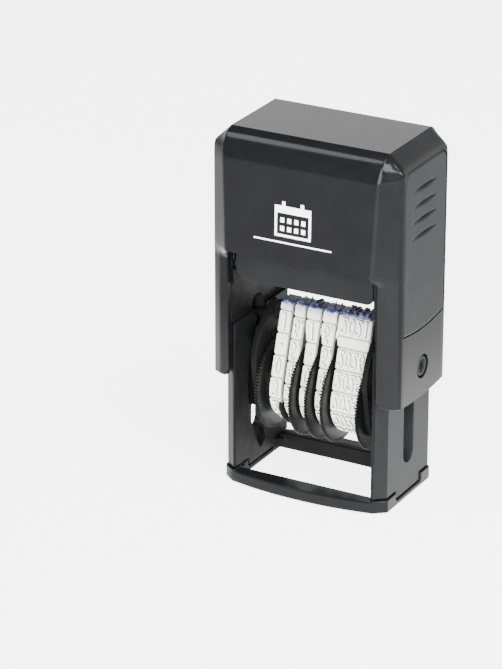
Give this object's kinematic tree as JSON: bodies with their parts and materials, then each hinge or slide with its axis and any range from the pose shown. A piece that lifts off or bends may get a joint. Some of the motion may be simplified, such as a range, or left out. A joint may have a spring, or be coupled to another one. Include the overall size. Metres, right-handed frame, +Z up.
{
  "type": "self inking date stamp",
  "caption": "Self inking date stamp with a sliding press cap, a swivelling unit of date bands on thumb wheels, a slide-out ink pad and a clip-on foot.",
  "frame": {"origin": "on the surface the stamp stands on, under the middle of the stamp", "axes": "+Z up, +X along the printed line to the year, +Y to the back"},
  "size_m": [0.042, 0.0274, 0.076],
  "materials": {
    "cap_gloss_black": "polished black plastic with soft reflections",
    "grip_satin_black": "black plastic, slightly satin",
    "frame_satin_black": "black plastic, slightly satin",
    "foot_gloss_black": "polished black plastic",
    "matte_black": "matt black plastic",
    "cream_rubber": "cream rubber with raised mirrored types, inked blue on the type face",
    "inked_felt": "felt soaked with blue ink",
    "spring_steel": "bright steel wire"
  },
  "bodies": {
    "frame": {"lower_frame": "frame_satin_black", "base_ring": "foot_gloss_black", "return_spring": "spring_steel"},
    "ink_pad": {"ink_pad_tray": "frame_satin_black", "ink_pad_felt": "inked_felt"},
    "cap": {"cap_shell": "cap_gloss_black", "left_grip_panel": "grip_satin_black", "right_grip_panel": "grip_satin_black"},
    "date_unit": {"left_cheek": "matte_black", "right_cheek": "matte_black", "type_bridge": "matte_black", "wheel_shaft": "spring_steel", "shaft_clip": "spring_steel", "band_separator": "matte_black", "left_axle_pin": "frame_satin_black", "right_axle_pin": "frame_satin_black", "date_band_1": "cream_rubber", "date_band_2": "cream_rubber", "date_band_3": "cream_rubber", "date_band_4": "cream_rubber", "date_band_5": "cream_rubber"},
    "day_tens_wheel": {"date_wheel_1": "matte_black"},
    "day_wheel": {"date_wheel_2": "matte_black"},
    "month_tens_wheel": {"date_wheel_3": "matte_black"},
    "month_wheel": {"date_wheel_4": "matte_black"},
    "year_wheel": {"date_wheel_5": "matte_black"}
  },
  "joints": [
    {"name": "press_slide", "type": "slide", "parent": "frame", "child": "cap", "axis": [0, 0, -1], "range_m": [0, 0.0195], "stiffness_N_per_m": 500, "springref_m": -0.012, "deforming": ["return_spring"]},
    {"name": "die_swivel", "type": "hinge", "parent": "cap", "child": "date_unit", "pos_m": [0, 0, 0.029], "axis": [1, 0, 0], "range_deg": [0, 180]},
    {"name": "pad_tray_slide", "type": "slide", "parent": "frame", "child": "ink_pad", "axis": [0, 1, 0], "range_m": [-0.02, 0]},
    {"name": "day_tens_spin", "type": "hinge", "parent": "date_unit", "child": "day_tens_wheel", "pos_m": [0, 0, 0.0195], "axis": [1, 0, 0], "continuous": true},
    {"name": "day_spin", "type": "hinge", "parent": "date_unit", "child": "day_wheel", "pos_m": [0, 0, 0.0195], "axis": [1, 0, 0], "continuous": true},
    {"name": "month_tens_spin", "type": "hinge", "parent": "date_unit", "child": "month_tens_wheel", "pos_m": [0, 0, 0.0195], "axis": [1, 0, 0], "continuous": true},
    {"name": "month_spin", "type": "hinge", "parent": "date_unit", "child": "month_wheel", "pos_m": [0, 0, 0.0195], "axis": [1, 0, 0], "continuous": true},
    {"name": "year_spin", "type": "hinge", "parent": "date_unit", "child": "year_wheel", "pos_m": [0, 0, 0.0195], "axis": [1, 0, 0], "continuous": true}
  ],
  "couplings": [
    {"joint": "die_swivel", "follows": "press_slide", "rad_per_m": 161.1}
  ]
}
